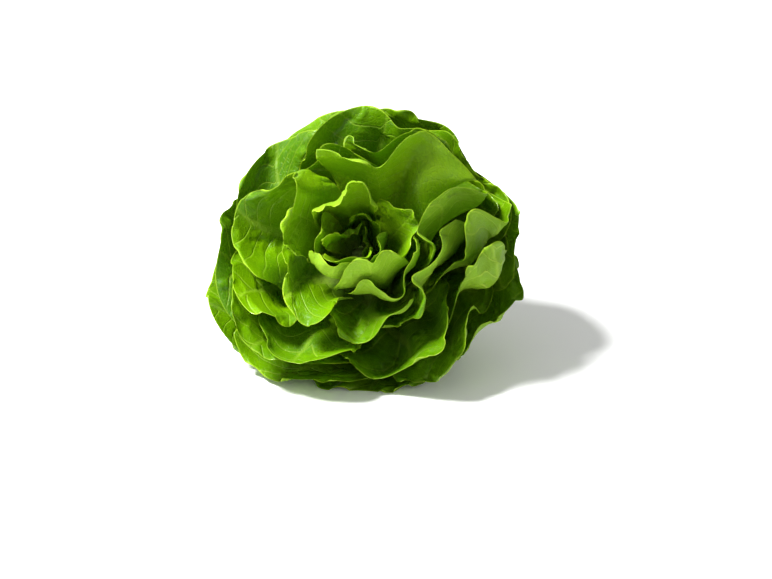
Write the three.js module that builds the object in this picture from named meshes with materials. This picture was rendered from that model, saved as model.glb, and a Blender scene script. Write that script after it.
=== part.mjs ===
// A head of butterhead lettuce lying on its side on a flat surface, its open heart facing -Y.
// Millimetres, +Z up, the origin on the surface under the middle of the head.
//
// A short tapering stem carries every leaf. Each leaf is one closed thin solid, and they are made from
// the stem outwards: heart leaves first, then the middle ones, then the loose outer rosette. A leaf
// takes the shape it would like to have, and where it would run into the leaves inside it, it is laid
// over them.
//
// The leaves are shaped in the head's own frame, whose axis runs up the stem. A place there is given by
// an angle round the axis, a share of the way along the leaf and a shell: shells are nested cups of
// revolution, from the tight heart (shell 0) to the open rosette (shell HEAD_RADIUS). Two leaves on
// shells that are far enough apart can't touch, and the bends that follow keep them apart, because
// each bend moves a single coordinate.
import * as THREE from "three";

// Driving dimensions.
const HEAD_RADIUS = 100; // rim of the outer rosette, from the axis
const OUTER_REACH = 104; // an outer leaf, stem to rim, along its curve
const MIDDLE_REACH = 88;
const HEART_REACH = 38;
const STEM_RADIUS = 14; // at its widest, just above the cut
const STEM_LENGTH = 46; // from the cut to the growing tip
const BLADE = 0.9; // thickness of a leaf blade
const EDGE = 0.6; // thickness at its margin
const RIB = 2.2; // thickness of the midrib where it leaves the stem
const STEM_GAP = 0.35; // between the stem and the foot of a leaf
const LEAF_GAP = 1.8; // least space between two leaves that lie over each other
const FOOT_GAP = 0.9; // the same between the feet of two leaves
const LEAN = 38; // degrees that the axis rises from the surface, towards -Y
const TURN = 5; // degrees that it turns from -Y towards -X
const SINK = 20; // how far the round head would reach under the surface if it weren't pressed
const PRESS = 22; // height above the surface up to which the leaves are pressed together
const SQUASH = 0.5; // what is left of a height at the bottom, where the head rests
const SAG = 12; // how much lower the underside comes near the stem
const SAG_FROM = 80; // distance in front of the stem's cut at which that begins
const SAG_TO = 22; // and at which it is complete
const REST = 3.5; // depth that is pressed quite flat where the lowest leaf meets the surface
const FLAT_BLADE = 0.5; // thickness of the leaf there
const ROUNDNESS = 0.8; // of a blade's end: 0 is square, 1 a half disc
const LEAF_WAVE = 9; // how many shells the waves of a larger leaf reach in and out
const STEM_STEPS = 10;

// The heart leaves follow one another round the stem, each a golden turn on from the last.
const HEART = { count: 12, turn: 137.5, shells: [12, 52], halfWidths: [15, 30], lengths: [0.86, 1.02] };
const HEART_SWAY = 22; // how many shells the tip and the sides of a heart leaf stray, in or out

// The larger leaves, in the order they lie over one another: the angle of the midrib in degrees from
// +X towards +Z, the shell, half the width of the blade and its length as a share of the shell's. Then
// how many shells the tip turns out (or in, below zero), how many the two sides stand out from the
// midrib, and how many the left side stands out further than the right.
const MIDDLE = [
  [318, 54, 38, 0.9, 2, -6, 6],
  [104, 58, 40, 0.8, -2, 14, -12],
  [222, 60, 36, 0.8, 12, -16, 8],
  [12, 64, 42, 0.96, -6, 2, 6],
  [292, 66, 36, 0.84, 12, -14, -10],
  [56, 72, 46, 0.98, -4, 6, -8],
  [340, 76, 44, 1, -14, -4, 4],
  [165, 84, 52, 0.84, 6, -12, 0],
  [203, 88, 40, 0.86, 6, -30, -8],
  [246, 84, 40, 0.94, 8, -26, 8],
  [82, 89, 62, 0.97, 2, 4, -6],
  [14, 88, 46, 1.02, -12, -8, 6],
];
const OUTER = [
  [300, 90, 54, 0.94, 0, -6, 0],
  [230, 94, 56, 0.94, -2, -22, 4],
  [46, 94, 56, 1.02, -6, 6, 8],
  [140, 97, 62, 0.94, 2, 2, 0],
  [352, 96, 50, 1.04, -6, -12, 6],
  [186, 100, 60, 0.92, 2, 0, 4],
  [322, 99, 58, 0.98, 2, -6, 0],
  [68, 102, 58, 1, 0, 0, -4],
  [248, 103, 60, 0.98, 4, -8, 4],
  [22, 104, 54, 1.04, 3, -6, 0],
  [112, 105, 62, 0.97, 3, 0, 3],
  [212, 107, 54, 0.98, 2, -6, 0],
  [346, 107, 50, 1.06, 2, -8, -4],
  [278, 106, 60, 1, 0, 0, 0],
];
const SEGMENTS = { heart: [8, 6], middle: [12, 8], outer: [12, 9] };

const { degToRad, lerp, clamp, smoothstep } = THREE.MathUtils;

// A repeatable number from -1 to 1 that differs from leaf to leaf and from use to use.
function vary(index, use) {
  const n = Math.sin(index * 12.9898 + use * 78.233) * 43758.5453;
  return 2 * (n - Math.floor(n)) - 1;
}

// A smooth curve through three values, at 0, 0.5 and 1.
function through(a, b, c, q) {
  const bend = 2 * (a + c - 2 * b);
  return a + (c - a - bend) * q + bend * q * q;
}

// The stem's outline from the growing tip (0) to the cut (1), as [radius, height].
const STEM_OUTLINE = new THREE.SplineCurve([
  new THREE.Vector2(0.08 * STEM_RADIUS, STEM_LENGTH),
  new THREE.Vector2(0.42 * STEM_RADIUS, 0.84 * STEM_LENGTH),
  new THREE.Vector2(0.84 * STEM_RADIUS, 0.52 * STEM_LENGTH),
  new THREE.Vector2(STEM_RADIUS, 0.2 * STEM_LENGTH),
  new THREE.Vector2(0.9 * STEM_RADIUS, 0),
]);

// Where a shell leaves the stem, its direction there and at the rim, and its length.
function shellArc(shell) {
  const q = clamp(shell / HEAD_RADIUS, 0, 1.5);
  const foot = STEM_OUTLINE.getPoint(0.06 + 0.56 * q);
  return {
    r: foot.x + STEM_GAP + RIB / 2,
    z: foot.y,
    start: degToRad(through(80, 40, -10, q)),
    end: degToRad(through(97, 106, 68, q)),
    reach: through(HEART_REACH, MIDDLE_REACH, OUTER_REACH, q),
  };
}

// The point of a shell at share t of its length, as [radius, height]: each shell is an arc.
function shellPoint(shell, t) {
  const { r, z, start, end, reach } = shellArc(shell);
  const bend = (end - start) / reach;
  const angle = start + (end - start) * t;
  return [r + (Math.sin(angle) - Math.sin(start)) / bend, z + (Math.cos(start) - Math.cos(angle)) / bend];
}

// Millimetres between a shell and the next one, square to the shell.
function shellSpacing(shell, t) {
  const [r0, z0] = shellPoint(shell, t);
  const [r1, z1] = shellPoint(shell + 1, t);
  const [r2, z2] = shellPoint(shell, t + 0.01);
  const along = Math.hypot(r2 - r0, z2 - z0);
  return Math.abs((r1 - r0) * (z2 - z0) - (z1 - z0) * (r2 - r0)) / along;
}

// The head's loose, uneven growth: waves that run up through all the leaves, so that neighbours bend
// together. Each step moves one coordinate by a rule of the others, so no two places ever meet.
function grow(radius, turn, height) {
  const free = smoothstep(radius, 1.3 * STEM_RADIUS, 0.5 * HEAD_RADIUS);
  const rise = free * smoothstep(height, 0.3 * STEM_LENGTH, 2.2 * STEM_LENGTH);
  const ragged = 0.6 + 0.5 * Math.cos(turn - 0.2); // the head is more ragged on its right side
  const out = radius * (1 + rise * (
    0.04 * Math.sin(2 * turn + 0.6)
    + 0.05 * Math.sin(5 * turn - 0.03 * height + 1.9)
    + 0.07 * ragged * Math.sin(10 * turn + 0.05 * height)
  ));
  const up = height + free * (
    6 * Math.sin(3 * turn + 0.03 * out)
    + 4 * Math.sin(7 * turn - 0.06 * out)
    + 4 * ragged * Math.sin(12 * turn + 0.08 * out)
  );
  const swirl = turn + free * (0.1 * Math.sin(0.055 * up + 2) + 0.08 * Math.sin(0.09 * out + 1.5));
  return new THREE.Vector3(out * Math.cos(swirl), out * Math.sin(swirl), up);
}

// The head laid down, its axis rising towards -Y.
const AXIS = new THREE.Vector3(
  -Math.sin(degToRad(TURN)) * Math.cos(degToRad(LEAN)),
  -Math.cos(degToRad(TURN)) * Math.cos(degToRad(LEAN)),
  Math.sin(degToRad(LEAN)),
);
const ACROSS = new THREE.Vector3(0, 0, 1).cross(AXIS).normalize();
const LAY_DOWN = new THREE.Matrix4().makeBasis(ACROSS, AXIS.clone().cross(ACROSS), AXIS);

// The height of a place once the head's weight has let its back sag and pressed the leaves under it
// together.
function pressed(place, surface) {
  const sag = SAG * smoothstep(place.y, -SAG_FROM, -SAG_TO) * (1 - smoothstep(place.z - surface, 10, 70));
  const height = place.z - surface - sag;
  const s = clamp(height / PRESS, 0, 1);
  const eased = PRESS * (s ** 3 - s ** 4 / 2) + Math.max(0, height - PRESS);
  return SQUASH * height + (1 - SQUASH) * eased;
}

// Half the blade's width at y, in mm: narrow at the stem, full from the middle on.
function halfWidthAt(leaf, y) {
  return lerp(leaf.footHalfWidth, leaf.halfWidth, smoothstep(y, -1.25, 0.1));
}

// The share of the shell's length at y, and the angle round the axis at x. x and y run from -1 to 1
// across the leaf and along it.
function shareAt(leaf, y) {
  return leaf.length * (y + 1) / 2;
}
function midribTurn(leaf, t) {
  return leaf.turn + leaf.skew * t * t;
}
function turnAt(leaf, x, y) {
  const t = shareAt(leaf, y);
  const radius = Math.max(shellPoint(leaf.shell, t)[0], 0.5 * STEM_RADIUS);
  const widest = degToRad(100);
  return midribTurn(leaf, t) + widest * Math.tanh(x * halfWidthAt(leaf, y) / radius / widest);
}

// The smaller angle from one direction to another.
function angleBetween(from, to) {
  return Math.atan2(Math.sin(to - from), Math.cos(to - from));
}

// The shell that a leaf would lie on at an angle off its midrib, were it alone.
function wantedShell(leaf, off, t) {
  const side = off / leaf.spread;
  const tip = t * t;
  return leaf.shell
    + leaf.sides * side * side * tip
    + leaf.tip * smoothstep(t, 0.45, 1.05)
    + leaf.wave * Math.sin(leaf.waves * off + leaf.phase + 2 * t) * tip
    + leaf.twist * side * tip;
}

// A grid over angle and share that keeps, for each place, the outermost shell in use there.
const TURNS = 120;
const SHARES = 24;
const LONGEST = 1.15;
const SMOOTHING = 3; // grid steps over which a leaf laid over an edge bridges it
const gridIndex = (i, j) => ((i % TURNS) + TURNS) % TURNS * (SHARES + 1) + clamp(j, 0, SHARES);
const gridTurn = (k) => Math.floor(k / (SHARES + 1)) * 2 * Math.PI / TURNS;
const gridShare = (k) => LONGEST * (k % (SHARES + 1)) / SHARES;

// The values round each place of the grid, put together by a rule.
function overWindow(values, combine) {
  return values.map((_, k) => {
    const i = Math.floor(k / (SHARES + 1));
    const j = k % (SHARES + 1);
    const near = [];
    for (let a = -SMOOTHING; a <= SMOOTHING; a += 1)
      for (let b = -SMOOTHING; b <= SMOOTHING; b += 1) near.push(values[gridIndex(i + a, j + b)]);
    return combine(near);
  });
}
const largest = (values) => overWindow(values, (near) => Math.max(...near));
const averaged = (values) => overWindow(values, (near) => near.reduce((a, b) => a + b) / near.length);

// Lays a leaf over the ones made before it. Taking the largest shell in a window and then the average
// over the same window never comes out under what was there.
function drape(leaf, used) {
  const under = largest(used);
  const wanted = used.map((_, k) => {
    const t = gridShare(k);
    const off = angleBetween(midribTurn(leaf, t), gridTurn(k));
    const alone = wantedShell(leaf, clamp(off, -1.3 * leaf.spread, 1.3 * leaf.spread), t);
    if (under[k] < 0) return alone;
    const spacing = Math.max(0.25, shellSpacing(Math.max(leaf.shell, under[k]), t));
    const apart = lerp(FOOT_GAP + (RIB + BLADE) / 2, BLADE + leaf.gap, smoothstep(t, 0, 0.3));
    return Math.max(alone, under[k] + apart / spacing);
  });
  leaf.shells = averaged(wanted);
  used.forEach((_, k) => {
    if (covers(leaf, gridTurn(k), gridShare(k))) used[k] = Math.max(used[k], leaf.shells[k]);
  });
}

// Whether a leaf, with a little to spare, lies at an angle and share.
function covers(leaf, turn, t) {
  const y = 2 * t / leaf.length - 1;
  if (y > 1.1) return false;
  const across = y > 0 ? Math.sqrt(Math.max(0, 1.25 - y * y)) : 1.1;
  const reach = turnAt(leaf, across, Math.min(y, 1)) - midribTurn(leaf, t);
  return Math.abs(angleBetween(midribTurn(leaf, t), turn)) < reach;
}

// A leaf's shell between the places of the grid.
function shellAt(leaf, turn, t) {
  const i = turn / (2 * Math.PI) * TURNS;
  const j = clamp(t / LONGEST * SHARES, 0, SHARES - 1e-6);
  const [i0, j0] = [Math.floor(i), Math.floor(j)];
  const at = (a, b) => leaf.shells[gridIndex(i0 + a, j0 + b)];
  const between = (a) => lerp(at(a, 0), at(a, 1), j - j0);
  return lerp(between(0), between(1), i - i0);
}

// The middle of a leaf's thickness, laid down but not pressed. u and v run from -1 to 1 over a square
// grid, whose upper corners are drawn in to give the blade its round end.
function bladeMiddle(leaf, u, v) {
  const x = u * Math.sqrt(1 - ROUNDNESS * Math.max(0, v) ** 2 / 2);
  const y = v * Math.sqrt(1 - ROUNDNESS * (v > 0 ? u * u : 0) / 2);
  const t = shareAt(leaf, y);
  const turn = turnAt(leaf, x, y);
  const [radius, height] = shellPoint(shellAt(leaf, turn, t), t);
  return grow(radius, turn, height).applyMatrix4(LAY_DOWN);
}

// A leaf's thickness: a thick midrib at the foot that dies out towards the tip, and thin margins.
function thickness(u, v) {
  const rib = Math.exp(-((u / 0.22) ** 2)) * (1 - smoothstep(v, -1, 0.6));
  const edge = smoothstep(Math.max(Math.abs(u), v), 0.7, 1);
  return lerp(lerp(BLADE, RIB, rib), EDGE, edge * (1 - rib));
}

// A box splits the squares of opposite sides along opposite diagonals. Where a blade is twisted, its two
// sides would then cross, so the inner side's squares (the last of the box's six) are split the other way.
function matchDiagonals(geometry) {
  const { start, count } = geometry.groups[5];
  const index = geometry.getIndex();
  for (let k = start; k < start + count; k += 6) {
    index.setX(k + 2, index.getX(k + 4));
    index.setX(k + 3, index.getX(k));
  }
}

// One leaf: a box with as many faces as the blade needs, every corner of which is moved onto the leaf.
// The rule settle gives a corner's final height on the inner (-1) or the outer (1) side of the leaf.
function leafGeometry(leaf, settle) {
  const [across, along] = leaf.segments;
  const geometry = new THREE.BoxGeometry(2, 2, 1, across, along, 1);
  matchDiagonals(geometry);
  const places = geometry.getAttribute("position");
  const step = 0.02;
  for (let k = 0; k < places.count; k += 1) {
    const [u, v, side] = [places.getX(k), places.getY(k), 2 * places.getZ(k)];
    const alongU = bladeMiddle(leaf, u + step, v).sub(bladeMiddle(leaf, u - step, v));
    const alongV = bladeMiddle(leaf, u, Math.min(1, v + step)).sub(bladeMiddle(leaf, u, v - step));
    const back = alongU.cross(alongV).normalize();
    const point = bladeMiddle(leaf, u, v).addScaledVector(back, side * thickness(u, v) / 2);
    places.setXYZ(k, point.x, point.y, settle(point, side));
  }
  return geometry;
}

// A leaf with its own small differences from the others.
function newLeaf(kind, n, index, turn, shell, halfWidth, length, tip, sides, twist) {
  return {
    name: `${kind}_leaf_${String(n + 1).padStart(2, "0")}`,
    kind,
    segments: SEGMENTS[kind],
    turn: degToRad(turn),
    shell,
    halfWidth,
    length,
    tip,
    sides,
    footHalfWidth: STEM_RADIUS * lerp(0.3, 0.65, shell / HEAD_RADIUS),
    spread: halfWidth / Math.max(shellPoint(shell, 0.8)[0], STEM_RADIUS),
    gap: LEAF_GAP,
    skew: 0.1 * vary(index, 5),
    twist,
    wave: LEAF_WAVE,
    waves: 4 + vary(index, 9),
    phase: Math.PI * vary(index, 10),
  };
}

function makeLeaves() {
  const leaves = [];
  for (let n = 0; n < HEART.count; n += 1) {
    const q = n / (HEART.count - 1);
    const turn = HEART.turn * n;
    leaves.push(newLeaf(
      "heart", n, n, turn, lerp(...HEART.shells, q), lerp(...HEART.halfWidths, q),
      lerp(...HEART.lengths, q) * (1 + 0.2 * vary(n, 4)),
      HEART_SWAY * vary(n, 7), HEART_SWAY * vary(n, 6), HEART_SWAY * vary(n, 8),
    ));
  }
  MIDDLE.forEach((row, n) => leaves.push(newLeaf("middle", n, leaves.length, ...row)));
  OUTER.forEach((row, n) => leaves.push(newLeaf("outer", n, leaves.length, ...row)));
  leaves.at(-1).gap = LEAF_GAP + REST / SQUASH; // the lowest leaf, which is pressed flat
  const used = new Array(TURNS * (SHARES + 1)).fill(-1);
  leaves.forEach((leaf) => drape(leaf, used));
  return leaves;
}

// The stem: turned from its outline, with a flat round cut at the foot.
function stemGeometry(settle) {
  const outline = [new THREE.Vector2(0, 0)];
  for (let n = STEM_STEPS; n >= 0; n -= 1) outline.push(STEM_OUTLINE.getPoint(n / STEM_STEPS));
  outline.push(new THREE.Vector2(0, STEM_LENGTH + 0.05 * STEM_RADIUS));
  const geometry = new THREE.LatheGeometry(outline, 4 * STEM_STEPS);
  geometry.rotateX(Math.PI / 2).applyMatrix4(LAY_DOWN);
  const places = geometry.getAttribute("position");
  const place = new THREE.Vector3();
  for (let k = 0; k < places.count; k += 1)
    places.setZ(k, settle(place.fromBufferAttribute(places, k), 1));
  return geometry;
}

const finish = (color, roughness) => new THREE.MeshStandardMaterial({ color, roughness, metalness: 0 });
const LEAF_GREENS = {
  heart: finish(0x8fae2a, 0.5),
  middle: finish(0x5c9210, 0.4),
  outer: finish(0x4a7d0c, 0.4),
};
const STEM_WHITE = finish(0xdfe3b4, 0.6);

const leaves = makeLeaves();
let surface = Infinity;
for (const leaf of leaves)
  for (let u = -1; u <= 1; u += 0.25)
    for (let v = -1; v <= 1; v += 0.25) surface = Math.min(surface, bladeMiddle(leaf, u, v).z);
surface += SINK;

// The head comes down onto the surface, and what would still reach under it lies flat on it.
const unsettled = new THREE.Box3();
for (const leaf of leaves) {
  const geometry = leafGeometry(leaf, (place) => pressed(place, surface));
  geometry.computeBoundingBox();
  unsettled.union(geometry.boundingBox);
}
const drop = unsettled.min.z + REST;
const settle = (place, side) => Math.max(pressed(place, surface) - drop, side < 0 ? FLAT_BLADE : 0);

const lettuce = new THREE.Group();
function add(name, geometry, material) {
  const mesh = new THREE.Mesh(geometry, material);
  mesh.name = name;
  lettuce.add(mesh);
}
add("stem", stemGeometry(settle), STEM_WHITE);
leaves.forEach((leaf) => add(leaf.name, leafGeometry(leaf, settle), LEAF_GREENS[leaf.kind]));

const centre = new THREE.Box3().setFromObject(lettuce, true).getCenter(new THREE.Vector3());
lettuce.children.forEach((mesh) => mesh.geometry.translate(-centre.x, -centre.y, 0));
export default lettuce;
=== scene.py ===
# %% [markdown]
# # A head of butterhead lettuce
#
# A butterhead is a short thick stem with a spiral of leaves. The heart leaves are small, pale and closed
# over one another; the outer ones are broad, dark and open. Nothing holds the head together but the way
# the leaves lie round each other, so the leaves are what this model is about. The head lies on its side
# with its open heart towards the camera.
#
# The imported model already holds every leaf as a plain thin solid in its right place, laid over its
# neighbours without touching them. This script keeps those places and gives each leaf what the solids
# leave out: a smooth surface, crinkled margins, blisters, ribs and veins, and skin that light shines
# through.

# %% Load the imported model
import math
import bmesh
import bpy
import numpy as np
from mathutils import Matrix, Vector
from mathutils.bvhtree import BVHTree


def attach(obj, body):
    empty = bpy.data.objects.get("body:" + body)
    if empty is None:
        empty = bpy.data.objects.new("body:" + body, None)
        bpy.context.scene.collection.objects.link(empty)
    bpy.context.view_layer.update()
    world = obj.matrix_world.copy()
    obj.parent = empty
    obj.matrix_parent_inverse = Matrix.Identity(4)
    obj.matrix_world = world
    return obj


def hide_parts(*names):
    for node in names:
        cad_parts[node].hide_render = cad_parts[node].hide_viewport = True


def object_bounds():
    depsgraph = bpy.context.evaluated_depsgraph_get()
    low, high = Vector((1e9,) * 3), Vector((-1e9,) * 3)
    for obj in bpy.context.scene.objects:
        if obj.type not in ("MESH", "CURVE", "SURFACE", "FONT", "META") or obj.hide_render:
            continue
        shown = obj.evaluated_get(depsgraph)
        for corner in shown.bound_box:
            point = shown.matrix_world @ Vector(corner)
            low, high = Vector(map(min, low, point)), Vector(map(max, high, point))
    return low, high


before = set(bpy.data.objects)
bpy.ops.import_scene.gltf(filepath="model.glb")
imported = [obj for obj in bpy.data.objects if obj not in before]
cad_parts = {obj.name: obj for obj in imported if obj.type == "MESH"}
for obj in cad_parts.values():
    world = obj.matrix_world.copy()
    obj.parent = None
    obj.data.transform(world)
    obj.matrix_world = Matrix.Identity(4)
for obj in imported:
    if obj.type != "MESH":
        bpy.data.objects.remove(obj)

low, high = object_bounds()
middle = (low + high) / 2
print("the head is", [round(1000 * side) for side in high - low], "mm")

# %% [markdown]
# ## Camera
#
# The camera looks down on the head a little less steeply than the head's axis leans, so the heart sits
# just above the middle of the round outline. A long lens from over a metre away keeps the front leaves
# from looking larger than the back ones, and a small shift of the lens places the head in the frame.

# %% Camera
ELEVATION = math.radians(24)
DISTANCE = 1.24
camera = bpy.data.objects.new("camera", bpy.data.cameras.new("camera"))
camera.data.lens = 85
camera.data.shift_x = 0.03
camera.data.shift_y = -0.06
towards = Vector((0, -math.cos(ELEVATION), math.sin(ELEVATION)))
camera.location = middle + DISTANCE * towards
camera.rotation_euler = (-towards).to_track_quat("-Z", "Y").to_euler()
bpy.context.scene.collection.objects.link(camera)
bpy.context.scene.camera = camera
print("camera at", [round(x, 2) for x in camera.location])

# %% [markdown]
# ## Floor and light
#
# Leaves show their form by gloss on the crests and by deep shade between the layers. One large soft
# light from the upper left does both, and a weak one on the right keeps the shade side from going black.
# The pale floor throws some light back up under the leaves. The view shows colours plainly, because the
# softer default view turns a saturated leaf green into grey.

# %% Shader wires
class Wire:
    """One output of a shader node, which can be used in sums like a number."""

    def __init__(self, tree, socket=None):
        self.tree, self.socket = tree, socket

    def node(self, kind, settings=None, values=None, out=0):
        """Adds a node, sets it up, feeds its sockets by name or number, and gives one output."""
        made = self.tree.nodes.new(kind)
        for name, value in (settings or {}).items():
            setattr(made, name, value)
        for key, value in (values or {}).items():
            if isinstance(value, Wire):
                self.tree.links.new(value.socket, made.inputs[key])
            else:
                made.inputs[key].default_value = value
        return Wire(self.tree, made.outputs[out] if made.outputs else None)

    def maths(self, operation, *others):
        return self.node("ShaderNodeMath", {"operation": operation}, dict(enumerate((self, *others))))

    def __add__(self, other):
        return self.maths("ADD", other)

    def __sub__(self, other):
        return self.maths("SUBTRACT", other)

    def __mul__(self, other):
        return self.maths("MULTIPLY", other)

    def __rsub__(self, other):
        return self * -1.0 + other

    __radd__, __rmul__ = __add__, __mul__

    def ramp(self, start, end, at_start=0.0, at_end=1.0):
        """at_start up to start, at_end from end on, and eased between them."""
        return self.node(
            "ShaderNodeMapRange", {"interpolation_type": "SMOOTHSTEP"},
            {0: self, 1: start, 2: end, 3: at_start, 4: at_end})

    def blend(self, first, second):
        """The first colour where this is 0, the second where it is 1."""
        return self.node("ShaderNodeMix", {"data_type": "RGBA"}, {0: self, 6: first, 7: second}, out=2)

    def times(self, number):
        """A vector made longer or shorter."""
        return self.node("ShaderNodeVectorMath", {"operation": "SCALE"}, {0: self, "Scale": number})

    def parts(self):
        split = self.node("ShaderNodeSeparateXYZ", values={0: self})
        return [Wire(self.tree, output) for output in split.socket.node.outputs]


def new_material(name):
    """An empty material, and a wire to start its nodes from."""
    material = bpy.data.materials.new(name)
    material.use_nodes = True
    material.node_tree.nodes.clear()
    return material, Wire(material.node_tree)


def finished(material, surface):
    surface.node("ShaderNodeOutputMaterial", values={"Surface": surface})
    return material


print("shader helpers ready")

# %% Floor
floor_mesh = bpy.data.meshes.new("floor")
shape = bmesh.new()
bmesh.ops.create_grid(shape, x_segments=1, y_segments=1, size=3)
shape.to_mesh(floor_mesh)
shape.free()
floor = bpy.data.objects.new("floor", floor_mesh)
floor.location.z = low.z - 0.0002
bpy.context.scene.collection.objects.link(floor)
white, wire = new_material("floor_white")
matt = wire.node("ShaderNodeBsdfPrincipled", values={"Base Color": (0.96, 0.96, 0.96, 1), "Roughness": 0.9})
floor_mesh.materials.append(finished(white, matt))
print("floor at", round(floor.location.z, 4))

# %% Lights
def area_light(name, place, size, power):
    lamp = bpy.data.lights.new(name, "AREA")
    lamp.shape, lamp.size, lamp.energy = "DISK", size, power
    holder = bpy.data.objects.new(name, lamp)
    holder.location = middle + Vector(place)
    holder.rotation_euler = (-Vector(place)).to_track_quat("-Z", "Y").to_euler()
    bpy.context.scene.collection.objects.link(holder)


area_light("key", (-0.6, -0.2, 0.95), 0.3, 44)
area_light("fill", (0.9, -0.9, 0.5), 0.9, 2)
sky = bpy.data.worlds.new("studio")
sky.use_nodes = True
sky.node_tree.nodes["Background"].inputs["Color"].default_value = (1, 1, 1, 1)
sky.node_tree.nodes["Background"].inputs["Strength"].default_value = 0.52
bpy.context.scene.world = sky
bpy.context.scene.view_settings.view_transform = "Standard"
print("two soft lights and a white room")

# %% [markdown]
# ## The head's axis
#
# Everything in the head is arranged round one line that runs up the short stem and through the heart. The
# stem is longer than it is wide, so its longest direction is that line.

# %% The head's axis
stem_places = np.array([vertex.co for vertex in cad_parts["stem"].data.vertices])
stem_middle = (stem_places.min(0) + stem_places.max(0)) / 2
axis = np.linalg.svd(stem_places - stem_places.mean(0), full_matrices=False)[2][0]
axis *= np.sign(axis @ (np.array(middle) - stem_middle))
print("the axis rises", round(math.degrees(math.asin(axis[2]))), "degrees")

# %% [markdown]
# ## Reading a leaf's grid back from its solid
#
# Each leaf solid is a box of small faces that was bent into a leaf: a grid across and along on its inner
# side, the same grid on its outer side, and a narrow strip between them. A smooth leaf needs those rows
# and columns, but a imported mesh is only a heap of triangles. The heap can be sorted without looking at
# its shape: a plain box with the same number of faces has its triangles joined in the same way, so if
# one edge of the box is laid on the right edge of the leaf, each next triangle follows from the last.

# %% The joins of a plain box
def box_joins(across, along):
    """For each edge of a box's triangles, as two corners (i, j, side), the triangle's third corner."""
    joins = {}
    size = (across, along, 1)
    faces = [  # the axis that runs first, the one that runs second, the fixed one, and their directions
        (2, 1, 0, -1, -1, 1), (2, 1, 0, 1, -1, 0), (0, 2, 1, 1, 1, 1),
        (0, 2, 1, 1, -1, 0), (0, 1, 2, 1, -1, 1), (0, 1, 2, -1, -1, 0),
    ]
    for first, second, fixed, way_1, way_2, end in faces:
        def corner(a, b):
            place = [0, 0, 0]
            place[first] = a if way_1 > 0 else size[first] - a
            place[second] = b if way_2 > 0 else size[second] - b
            place[fixed] = end * size[fixed]
            return tuple(place)
        for a in range(size[first]):
            for b in range(size[second]):
                p, q, r, s = corner(a, b), corner(a, b + 1), corner(a + 1, b + 1), corner(a + 1, b)
                halves = ((p, q, r), (p, r, s)) if (fixed, end) == (2, 0) else ((p, q, s), (q, r, s))
                for one, two, three in halves:
                    joins[one, two], joins[two, three], joins[three, one] = three, one, two
    return joins


print("a box of 2 by 2 faces has", len(box_joins(2, 2)) // 3, "triangles")

# %% Lay the box over the leaf
def lay_over(box, leaf, box_edge, leaf_edge):
    """The leaf's vertex for each corner of the box, or None where the joins don't agree."""
    found = dict(zip(box_edge, leaf_edge))
    waiting = [box_edge, box_edge[::-1]]
    done = set()
    while waiting:
        one, two = waiting.pop()
        if (one, two) in done:
            continue
        three = box[one, two]
        vertex = leaf.get((found[one], found[two]))
        if vertex is None or found.setdefault(three, vertex) != vertex:
            return None
        done.update([(one, two), (two, three), (three, one)])
        waiting += [(three, two), (one, three)]
    return found


def triangle_joins(mesh):
    joins = {}
    for face in mesh.faces:
        one, two, three = (vertex.index for vertex in face.verts)
        joins[one, two], joins[two, three], joins[three, one] = three, one, two
    return joins


# %% Read the grids
def leaf_grid(node, across, along):
    """A leaf solid's places as [side][along][across]: side 0 is the inner one, row 0 the foot."""
    mesh = bmesh.new()
    mesh.from_mesh(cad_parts[node].data)
    bmesh.ops.remove_doubles(mesh, verts=mesh.verts, dist=2e-6)
    joins = triangle_joins(mesh)
    tries = (lay_over(box_joins(across, along), joins, ((0, 0, 0), (0, 1, 0)), edge) for edge in joins)
    found = next(laid for laid in tries if laid)
    mesh.verts.ensure_lookup_table()
    grid = np.zeros((2, along + 1, across + 1, 3))
    for (i, j, side), vertex in found.items():
        grid[side, j, i] = mesh.verts[vertex].co
    mesh.free()
    from_stem = np.linalg.norm(grid - stem_middle, axis=3)
    if from_stem[:, 0].mean() > from_stem[:, -1].mean():
        grid = grid[:, ::-1, ::-1]
    return grid


def kind_of(node):
    """heart, middle or outer."""
    return node.split("_")[0]


FACES = {"heart": (8, 6), "middle": (12, 8), "outer": (12, 9)}  # of a solid, across and along
leaf_nodes = sorted(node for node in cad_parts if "leaf" in node)
grids = {node: leaf_grid(node, *FACES[kind_of(node)]) for node in leaf_nodes}
print(len(grids), "leaves read back")

# %% [markdown]
# ## A smooth surface
#
# A real blade has no corners. A cubic spline through the few rows and columns of the grid gives a surface
# that passes through every place of the solid and bends evenly between them. A Subdivision Surface would
# do it too, but it shrinks away from the places it is given, and the leaves would lose their tips.

# %% Curves through the grid
def spline_weights(spans, fine):
    """The matrix that turns spans + 1 places into fine + 1 places on one smooth curve through them."""
    bends, turns = np.eye(spans + 1), np.zeros((spans + 1, spans + 1))
    bends[0, 1] = bends[-1, -2] = -1
    for k in range(1, spans):
        bends[k, k - 1:k + 2] = 1, 4, 1
        turns[k, k - 1:k + 2] = 6, -12, 6
    curve = np.linalg.solve(bends, turns)
    weights = []
    for t in np.linspace(0, spans, fine + 1):
        k = min(int(t), spans - 1)
        s = t - k
        line = (1 - s) * np.eye(spans + 1)[k] + s * np.eye(spans + 1)[k + 1]
        weights.append(line + ((1 - s) ** 3 - 1 + s) / 6 * curve[k] + (s ** 3 - s) / 6 * curve[k + 1])
    return np.array(weights)


def smooth(grid, across, along):
    rows = spline_weights(grid.shape[1] - 1, along)
    columns = spline_weights(grid.shape[2] - 1, across)
    return np.einsum("aj,bi,sjic->sabc", rows, columns, grid)


FINE = {"heart": (56, 48), "middle": (96, 80), "outer": (104, 88)}  # faces of a finished leaf
print("an outer leaf has", FINE["outer"][0] * FINE["outer"][1], "faces on each side")

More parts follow.
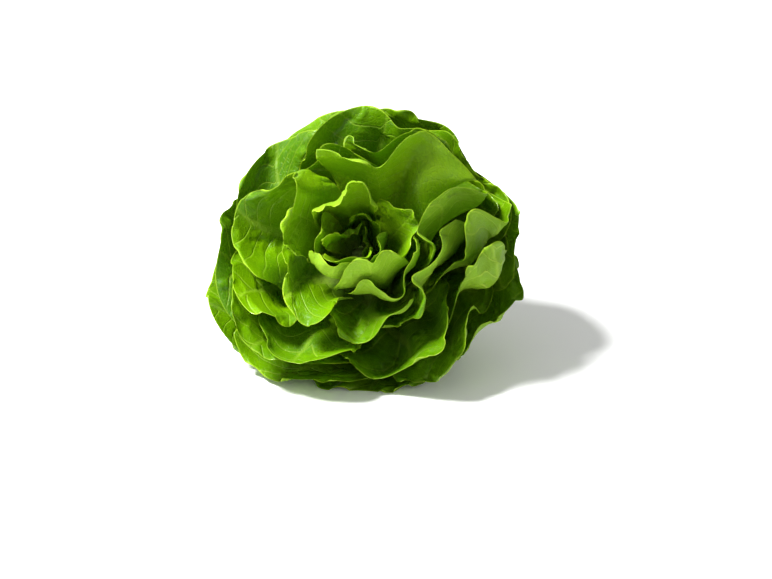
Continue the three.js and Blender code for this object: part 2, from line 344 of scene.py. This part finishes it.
# %% Distances on a leaf
def normals(surface, back):
    """Unit vectors square to a surface, on the side that the vectors in back point to."""
    across, along = np.gradient(surface, axis=1), np.gradient(surface, axis=0)
    square = np.cross(across, along)
    square /= np.maximum(np.linalg.norm(square, axis=2, keepdims=True), 1e-12)
    return square * np.sign((square * back).sum(2).mean() or 1)


def measure(surface):
    """Millimetres from the midrib (to the left below zero), from the foot, and to the margin."""
    def lengths(direction):
        steps = 1000 * np.linalg.norm(np.diff(surface, axis=direction), axis=2)
        return np.insert(np.cumsum(steps, axis=direction), 0, 0, axis=direction)
    across, along = lengths(1), lengths(0)
    margin = np.minimum(np.minimum(across, across[:, -1:] - across), along[-1:] - along)
    return across - across[:, across.shape[1] // 2][:, None], along, margin


sample = smooth(grids["outer_leaf_01"], *FINE["outer"]).mean(0)
print("an outer leaf is", [round(np.ptp(m)) for m in measure(sample)[:2]], "mm across and along")

# %% [markdown]
# ## Room to move
#
# A leaf is free to curl where nothing lies next to it, and hardly at all where it is packed between two
# others. Rays from both sides of the leaf, square to it and slanting, find how far the next surface is.
# Two neighbours may each use less than half of the room between them, so they can't meet.

# %% Rays to the neighbours
def whole_head():
    """One search tree with every leaf, the stem and the surface the head lies on."""
    corners, faces = [], []
    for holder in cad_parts.values():
        faces += [[len(corners) + k for k in polygon.vertices] for polygon in holder.data.polygons]
        corners += [vertex.co.copy() for vertex in holder.data.vertices]
    faces.append([len(corners) + k for k in range(4)])
    corners += [Vector((x, y, low.z - 2e-4)) for x, y in ((-1, -1), (1, -1), (1, 1), (-1, 1))]
    return BVHTree.FromPolygons(corners, faces)


neighbours = whole_head()
FREE = 0.012  # metres a leaf would want at most
SLANT = 0.6  # how far a slanting ray leans, next to one that is square to the leaf
SKIN_DEEP = 4e-5  # metres above the leaf at which a ray starts


def room(surface, square):
    """Metres from each place of a surface to the next surface that way, up to FREE."""
    free = np.full(surface.shape[:2], FREE)
    slants = [np.zeros(3)] + [SLANT * way for way in np.vstack([np.eye(3), -np.eye(3)])]
    for j, i in np.ndindex(*free.shape):
        start = Vector(surface[j, i]) + SKIN_DEEP * Vector(square[j, i])
        for slant in slants:
            way = Vector(square[j, i] + slant).normalized()
            place, _, _, distance = neighbours.ray_cast(start, way, FREE)
            if place is not None:
                free[j, i] = min(free[j, i], distance)
    return free


def spread(values, across, along):
    """Room on a few places made into smooth room on the fine grid: the least nearby, then blurred."""
    padded = np.pad(values, 1, mode="edge")
    shifts = [(a, b) for a in range(3) for b in range(3)]
    height, width = values.shape
    least = np.min([padded[a:a + height, b:b + width] for a, b in shifts], axis=0)
    padded = np.pad(least, 1, mode="edge")
    mean = np.mean([padded[a:a + height, b:b + width] for a, b in shifts], axis=0)
    rows, columns = np.linspace(0, height - 1, along + 1), np.linspace(0, width - 1, across + 1)
    lines = np.array([np.interp(columns, np.arange(width), line) for line in np.minimum(mean, 1.3 * least)])
    return np.array([np.interp(rows, np.arange(height), line) for line in lines.T]).T


print("the search tree is ready")

# %% [markdown]
# ## Waves, curls and blisters
#
# A leaf's margin grows faster than its middle, and the spare length goes into waves that fade inwards.
# Many margins also curl back a little. Between its veins the blade bulges towards the inner side of the
# leaf, which gives the head its quilted skin. The veins run from the midrib outwards and up, so the
# blisters do too. Each leaf draws its own waves from numbers with a fixed seed, so the head comes out the
# same every time. A heart leaf is young, so its waves and veins are smaller.

# %% The shape of the waves
def waves(dice, x, y, shortest, longest, count=4):
    """Smooth random ups and downs over a leaf, about -1 to 1, with wavelengths in millimetres."""
    total = np.zeros_like(x)
    for _ in range(count):
        length, way, phase = dice.uniform(shortest, longest), dice.uniform(0, math.pi), dice.uniform(0, 7)
        total += np.sin(2 * math.pi / length * (x * math.cos(way) + y * math.sin(way)) + phase)
    return total / math.sqrt(count)


GROWTH = {"heart": 0.55, "middle": 1, "outer": 1}  # the size of a leaf's veins and waves
VEIN_SPACING = 13  # millimetres from one side vein to the next


def vein_turns(dice, x, y, spacing):
    """A number that grows by one from each side vein to the next along the midrib.

    The veins slant up and bend, and those on the right start half way between those on the left.
    """
    slanted = y - 0.62 * np.abs(x) + 0.0022 * x * x + 0.35 * spacing * waves(dice, x, y, 45, 90, 3)
    return slanted / spacing + np.where(x > 0, 0.5, 0) * np.clip(np.abs(x) / 3, 0, 1)


def blisters(dice, x, turns):
    """0 on the veins and up to 1 in the middle of the fields between them."""
    between = np.abs(np.sin(math.pi * turns)) ** 0.7 * (1 - np.exp(-(x / 5) ** 2))
    field = 0.5 + 0.5 * np.abs(np.sin(math.pi * np.abs(x) / 11 + 1.7 * np.floor(turns)))
    return between * field


def ruffle(dice, size, x, y, margin, turns):
    """Millimetres that a leaf stands out towards its back, as the sum of what its growth did.

    The frill is close to the margin and the curl closer still, the sway bends the whole leaf, and the
    puckers and the quilt are the small relief of its face. Nothing moves near the foot.
    """
    grown = np.clip((y - 12 * size) / (30 * size), 0, 1)
    frill = 5.2 * np.exp(-margin / (11 * size)) * waves(dice, x, y, 18 * size, 44 * size)
    curl = 3.4 * np.exp(-margin / (5 * size)) * (0.35 + waves(dice, x, y, 45 * size, 100 * size, 3))
    sway = 1.6 * waves(dice, x, y, 45 * size, 95 * size, 3)
    puckers = 0.7 * waves(dice, x, y, 7 * size, 14 * size, 6) * (1 - np.exp(-margin / 6))
    quilt = 1.5 * blisters(dice, x, turns) * np.clip(0.7 + 0.6 * waves(dice, x, y, 30, 60, 3), 0, 1.6)
    return size * grown * (frill + curl + sway + puckers - quilt)


print("an outer leaf has a side vein every", VEIN_SPACING, "mm")

# %% A finished leaf surface
SHARE = 0.42  # of the room beside a leaf that it may use
BLADE = 0.0008  # metres, the thickness of a blade away from its midrib
SOLID_BLADE = 0.0009  # and of a solid's blade: what is thicker is rib
CLEAR = 3e-4  # metres between the floor and a leaf's inner side


def held_back(wanted, front, back):
    """The wanted movement, in metres, eased so that it stays within the room on either side."""
    limit = np.where(wanted > 0, back, front) * SHARE + 1e-6
    return limit * np.tanh(wanted / limit)


def shape_leaf(node, seed):
    """The places of a leaf's two sides, and what its skin needs to know at each of them."""
    kind = kind_of(node)
    size = GROWTH[kind]
    dice = np.random.default_rng(seed)
    sides = smooth(grids[node], *FINE[kind])
    surface, through = sides.mean(0), sides[1] - sides[0]
    thick = np.linalg.norm(through, axis=2)
    square = normals(surface, through)
    few = (slice(None, None, 4), slice(None, None, 4))
    half = thick[few][..., None] / 2 * square[few]
    front = spread(room(surface[few] - half, -square[few]), *FINE[kind])
    back = spread(room(surface[few] + half, square[few]), *FINE[kind])
    x, y, margin = measure(surface)
    turns = vein_turns(dice, x, y, VEIN_SPACING * size)
    moved = held_back(ruffle(dice, size, x, y, margin, turns) / 1000, front, back)
    surface = surface + moved[..., None] * square
    square = normals(surface, through)
    blade = np.minimum(thick, BLADE) * np.clip(0.25 + margin / 4, 0, 1)
    rib = np.maximum(thick - SOLID_BLADE, 0)
    inner = surface - square * (blade / 2)[..., None]
    outer = surface + square * (blade / 2 + rib / 2)[..., None]
    inner[..., 2] = np.maximum(inner[..., 2], low.z + CLEAR)
    outer[..., 2] = np.maximum(outer[..., 2], low.z)
    skin = np.stack([x, y, margin], axis=2)
    growth = np.stack([turns, np.zeros_like(x), np.full_like(x, dice.uniform())], axis=2)
    return np.stack([inner, outer]), np.stack([skin, skin]), np.stack([growth, growth + [0, 1, 0]])


places = shape_leaf("outer_leaf_01", 1)[0]
print("moved by up to", round(1000 * np.abs(places.mean(0) - sample).max(), 1), "mm")

# %% [markdown]
# ## The leaf pieces
#
# Each leaf is a flat grid with an extruded back, so it has two sides and a rim and is closed all round.
# The grid is made once for each kind of leaf, and every leaf is a copy of it whose vertices are moved to
# their places.

# %% A flat sheet with two sides
def flat_sheet(across, along):
    """A thin slab over -1 to 1, and for each of its vertices its [side, row, column]."""
    shape = bmesh.new()
    bmesh.ops.create_grid(shape, x_segments=across, y_segments=along, size=1)
    pulled = bmesh.ops.extrude_face_region(shape, geom=shape.faces[:])
    corners = [part for part in pulled["geom"] if isinstance(part, bmesh.types.BMVert)]
    bmesh.ops.translate(shape, verts=corners, vec=(0, 0, 1))
    mesh = bpy.data.meshes.new("sheet")
    index = [
        (round(v.co.z), round((v.co.y + 1) / 2 * along), round((v.co.x + 1) / 2 * across))
        for v in shape.verts]
    for vertex in shape.verts:
        vertex.co.z *= -0.01
    bmesh.ops.recalc_face_normals(shape, faces=shape.faces)
    shape.to_mesh(mesh)
    shape.free()
    mesh.shade_smooth()
    return mesh, tuple(np.array(index).T)


sheets = {kind: flat_sheet(*FINE[kind]) for kind in FINE}
print("sheets of", [len(mesh.polygons) for mesh, _ in sheets.values()], "faces")

# %% [markdown]
# ## Leaf skin
#
# The inner side of a leaf is a saturated yellow green with a waxy gloss, paler in the heart where less
# light reaches it. The back is duller and lighter. Towards the stem the green fades to white, the veins
# stay paler than the blade, and the margin is a thin yellow line, partly its own paler green and partly a
# painted highlight for the light that catches the thin edge and shines through it. Here and there the leaf
# is damp, with small drops, which is a clear coat over the skin. Light shines through a blade, so the skin
# is mixed with a shader that lets light pass.
#
# Colour and relief follow the leaf, so they read three numbers that every vertex keeps in an attribute:
# millimetres across, along and to the margin. A second attribute holds the count of side veins, the side
# and a number that differs from leaf to leaf.

# %% Veins and spots
def vein_lines(across, along, turns, size):
    """1 on the midrib and the side veins, 0 between them."""
    far = across.maths("ABSOLUTE")
    side = turns.maths("PINGPONG", 0.5).ramp(0.0, 0.075, 1.0, 0.0) * far.ramp(8 * size, 60 * size, 1.0, 0.3)
    width = along.ramp(10 * size, 90 * size, 6.0 * size, 1.6 * size)
    midrib = (far - width).ramp(-1.6 * size, 0.6 * size, 1.0, 0.0)
    midrib = midrib * along.ramp(20 * size, 100 * size, 1.0, 0.5)
    return side.maths("MAXIMUM", midrib)


def vein_net(place, noise):
    """The fine net between the side veins: 1 on its threads."""
    bent = place.node("ShaderNodeVectorMath", {"operation": "ADD"}, {0: place, 1: noise})
    cells = bent.node(
        "ShaderNodeTexVoronoi", {"feature": "DISTANCE_TO_EDGE"}, {"Vector": bent, "Scale": 0.26})
    return cells.ramp(0.0, 0.1, 1.0, 0.0)


def leaf_skin(name, size, fresh, deep, glow):
    """A leaf's skin from its young and its grown green, and the green of the light that comes through."""
    material, wire = new_material(name)
    place = wire.node("ShaderNodeAttribute", {"attribute_name": "skin"}, out="Vector")
    across, along, margin = place.parts()
    turns, side, tone = wire.node("ShaderNodeAttribute", {"attribute_name": "growth"}, out="Vector").parts()
    spot = wire.node("ShaderNodeTexCoord", out="Object").times(1000)
    patches = wire.node("ShaderNodeTexNoise", values={"Vector": spot, "Scale": 0.035, "Detail": 3.0})
    cloud = wire.node(
        "ShaderNodeTexNoise", values={"Vector": spot, "Scale": 0.12, "Detail": 2.0}, out="Color")
    damp = wire.node("ShaderNodeTexNoise", values={"Vector": spot, "Scale": 0.022, "Detail": 1.0})
    veins = vein_lines(across, along, turns, size)
    flat = wire.node("ShaderNodeCombineXYZ", values={0: across, 1: along, 2: tone * 90})
    net = vein_net(flat, cloud.times(5.0))
    drops = wire.node("ShaderNodeTexVoronoi", values={"Vector": spot, "Scale": 0.5, "Randomness": 1.0})
    drops = drops.ramp(0.1, 0.32, 1.0, 0.0)

    # Each layer of colour goes over the last: blade, net, back, veins, foot, and the margin, whose thin line
    # is partly a painted edge highlight.
    ripe = patches.ramp(0.3, 0.7) * 0.55 + tone * 0.45
    colour = ripe.blend(fresh, deep)
    colour = (net * 0.16).blend(colour, (0.27, 0.46, 0.005, 1))
    colour = (side * 0.55).blend(colour, (0.22, 0.37, 0.02, 1))
    colour = (veins * (side * 0.25 + 0.28)).blend(colour, (0.42, 0.58, 0.06, 1))
    pale = along.ramp(2 * size, 34 * size, 0.9, 0.0) * (side * 0.55 + 0.35)
    colour = pale.blend(colour, (0.52, 0.66, 0.2, 1))
    # The thin yellow margin line is partly the margin's own paler green and partly a painted highlight for
    # light caught at the thin edge and shining through it.
    edge = margin.ramp(0.2, 1.2, 1.0, 0.0) * patches.ramp(0.3, 0.6, 0.75, 0.35)
    colour = edge.blend(colour, (0.36, 0.52, 0.02, 1))

    # The veins are sunk on the inner side, where side is 0, and stand out on the back, where it is 1.
    relief = (side - 0.5) * (veins * 2.2 + net * 0.8) + drops * 0.4
    grain = wire.node("ShaderNodeTexNoise", values={"Vector": spot, "Scale": 1.4, "Detail": 2.0})
    bump = wire.node(
        "ShaderNodeBump", values={"Strength": 0.7, "Distance": 0.0006, "Height": relief + grain * 0.25})
    gloss = patches.ramp(0.25, 0.75, 0.3, 0.45) + side * 0.16
    wet = damp.ramp(0.5, 0.62) * (1 - side) * 0.7 + drops * 0.5
    surface = wire.node("ShaderNodeBsdfPrincipled", values={
        "Base Color": colour, "Roughness": gloss, "Normal": bump, "IOR": 1.4, "Specular IOR Level": 0.22,
        "Coat Weight": wet, "Coat Roughness": 0.14, "Coat IOR": 1.33})
    through = wire.node("ShaderNodeBsdfTranslucent", values={"Color": glow})
    return finished(material, wire.node("ShaderNodeMixShader", values={0: 0.22, 1: surface, 2: through}))


GREENS = {  # young green, grown green, light that comes through
    "heart": ((0.21, 0.39, 0.004, 1), (0.09, 0.22, 0.0, 1), (0.45, 0.72, 0.01, 1)),
    "middle": ((0.135, 0.285, 0.0, 1), (0.046, 0.145, 0.0, 1), (0.40, 0.68, 0.0, 1)),
    "outer": ((0.105, 0.235, 0.0, 1), (0.034, 0.112, 0.0, 1), (0.36, 0.62, 0.0, 1)),
}
skins = {kind: leaf_skin(kind + "_leaf_skin", GROWTH[kind], *greens) for kind, greens in GREENS.items()}
print("leaf skins:", ", ".join(skins))

# %% Make every leaf
def leaf_piece(node, seed):
    """A leaf with its shape, its attributes and its skin, riding where its solid does."""
    kind = kind_of(node)
    flat, (sides, rows, columns) = sheets[kind]
    mesh = flat.copy()
    piece = bpy.data.objects.new(node.replace("leaf", "blade"), mesh)
    bpy.context.scene.collection.objects.link(piece)
    places, skin, growth = shape_leaf(node, seed)
    mesh.vertices.foreach_set("co", places[sides, rows, columns].ravel())
    for name, values in (("skin", skin), ("growth", growth)):
        kept = mesh.attributes.new(name, "FLOAT_VECTOR", "POINT")
        kept.data.foreach_set("vector", values[sides, rows, columns].ravel())
    mesh.update()
    mesh.materials.append(skins[kind])
    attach(piece, "root")
    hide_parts(node)
    kind + "_leaf"
    return piece


blades = [leaf_piece(node, seed) for seed, node in enumerate(leaf_nodes)]
print(len(blades), "leaves,", sum(len(blade.data.polygons) for blade in blades) * 2, "triangles")

# %% [markdown]
# ## The stem
#
# The stem is its own solid made round: its triangles are joined into rings of squares and subdivided,
# which leaves it a little slimmer and clear of the leaf feet. The edge of the cut stays sharp. The cut is
# cream white, with a ring of darker spots where the sap ran and a rim that has browned.

# %% Join the stem's triangles into squares
shape = bmesh.new()
shape.from_mesh(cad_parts["stem"].data)
bmesh.ops.remove_doubles(shape, verts=shape.verts, dist=2e-6)
bmesh.ops.join_triangles(
    shape, faces=shape.faces, angle_face_threshold=math.radians(40), angle_shape_threshold=math.radians(60))
print("the stem has", len(shape.faces), "faces before it is rounded")

# %% Sharpen the edge of the cut
spots = np.array([vertex.co for vertex in shape.verts]) - stem_middle
heights = spots @ axis
ups = 1000 * (heights - heights.min())
outs = 1000 * np.linalg.norm(spots - heights[:, None] * axis, axis=1)
rim = outs[ups < 2].max()
crease = shape.edges.layers.float.new("crease_edge")
for edge in shape.edges:
    ends = [vertex.index for vertex in edge.verts]
    if ups[ends].max() < 2 and outs[ends].min() > 0.8 * rim:
        edge[crease] = 0.7
print("the cut is", round(2 * rim), "mm wide and the stem", round(ups.max()), "mm long")

# %% Keep where each place is on the stem
stem_mesh = bpy.data.meshes.new("stem_core")
shape.to_mesh(stem_mesh)
shape.free()
stem_mesh.shade_smooth()
kept = stem_mesh.attributes.new("rings", "FLOAT_VECTOR", "POINT")
kept.data.foreach_set("vector", np.stack([outs / rim, ups, 0 * ups], axis=1).ravel())
print("each place knows its share of the way out to the rim, and its height in mm")

# %% Stem flesh
stem_white, wire = new_material("stem_flesh")
out, up, _ = wire.node("ShaderNodeAttribute", {"attribute_name": "rings"}, out="Vector").parts()
spot = wire.node("ShaderNodeTexCoord", out="Object").times(1000)
flecks = wire.node("ShaderNodeTexNoise", values={"Vector": spot, "Scale": 0.4, "Detail": 4.0})
colour = flecks.ramp(0.35, 0.7).blend((0.78, 0.79, 0.52, 1), (0.64, 0.65, 0.34, 1))
colour = up.ramp(2, 24).blend(colour, (0.55, 0.68, 0.22, 1))
sap = (out - 0.62).maths("ABSOLUTE").ramp(0.02, 0.1, 1.0, 0.0) * flecks.ramp(0.42, 0.58)
sap = sap * up.ramp(0.5, 2, 1.0, 0.0)
colour = (sap * 0.6).blend(colour, (0.42, 0.36, 0.12, 1))
browned = out.ramp(0.82, 1.0) * up.ramp(0.5, 4.0, 1.0, 0.0) * flecks.ramp(0.3, 0.6, 0.35, 0.9)
colour = browned.blend(colour, (0.30, 0.16, 0.05, 1))
bump = wire.node("ShaderNodeBump", values={"Strength": 0.4, "Distance": 0.0004, "Height": flecks + sap * 0.5})
flesh = wire.node("ShaderNodeBsdfPrincipled", values={"Base Color": colour, "Roughness": 0.5, "Normal": bump})
stem_mesh.materials.append(finished(stem_white, flesh))
print("the stem is pale, with a browned rim")

# %% Stem
stem = bpy.data.objects.new("stem_core", stem_mesh)
rounded = stem.modifiers.new("rounded", "SUBSURF")
rounded.levels = rounded.render_levels = 3
bpy.context.scene.collection.objects.link(stem)
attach(stem, "root")
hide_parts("stem")
print("the stem is rounded in", rounded.levels, "steps")
